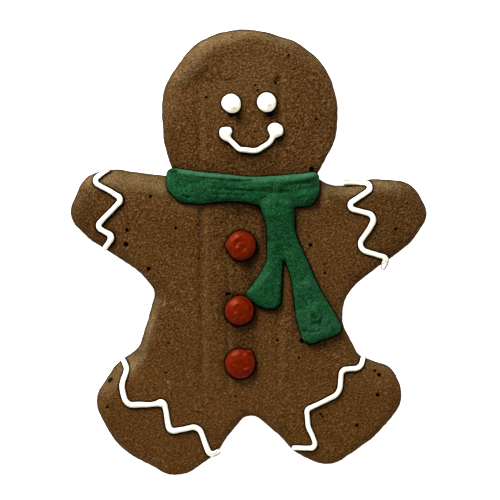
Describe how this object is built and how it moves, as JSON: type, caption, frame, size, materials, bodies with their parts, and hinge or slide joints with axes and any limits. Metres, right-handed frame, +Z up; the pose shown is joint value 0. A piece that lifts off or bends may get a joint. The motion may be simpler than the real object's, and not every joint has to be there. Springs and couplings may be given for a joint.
{
  "type": "gingerbread man cookie",
  "caption": "Flat baked gingerbread man with a rounded edge, piped with a green scarf, red buttons, a smiling face and zigzag cuffs of white icing.",
  "frame": {"origin": "on the table, under the middle of the cookie's outline", "axes": "+Y towards the top of the head, +X towards the hand on the right as seen from above, +Z up out of the iced face"},
  "size_m": [0.1014, 0.1269, 0.0135],
  "materials": {
    "gingerbread": "matt brown baked crust with a fine open grain and small dark pores",
    "white_icing": "dried white royal icing, smooth with a low sheen",
    "green_icing": "dried dark green icing, satin, with fine streaks and pinholes",
    "red_icing": "dried dark red icing, smooth with a soft shine"
  },
  "bodies": {
    "root": {"cookie": "gingerbread", "scarf": "green_icing", "smile": "white_icing", "eye_left": "white_icing", "eye_right": "white_icing", "button_top": "red_icing", "button_middle": "red_icing", "button_bottom": "red_icing", "icing_left_hand": "white_icing", "icing_right_hand": "white_icing", "icing_left_foot": "white_icing", "icing_right_foot": "white_icing"}
  },
  "joints": []
}
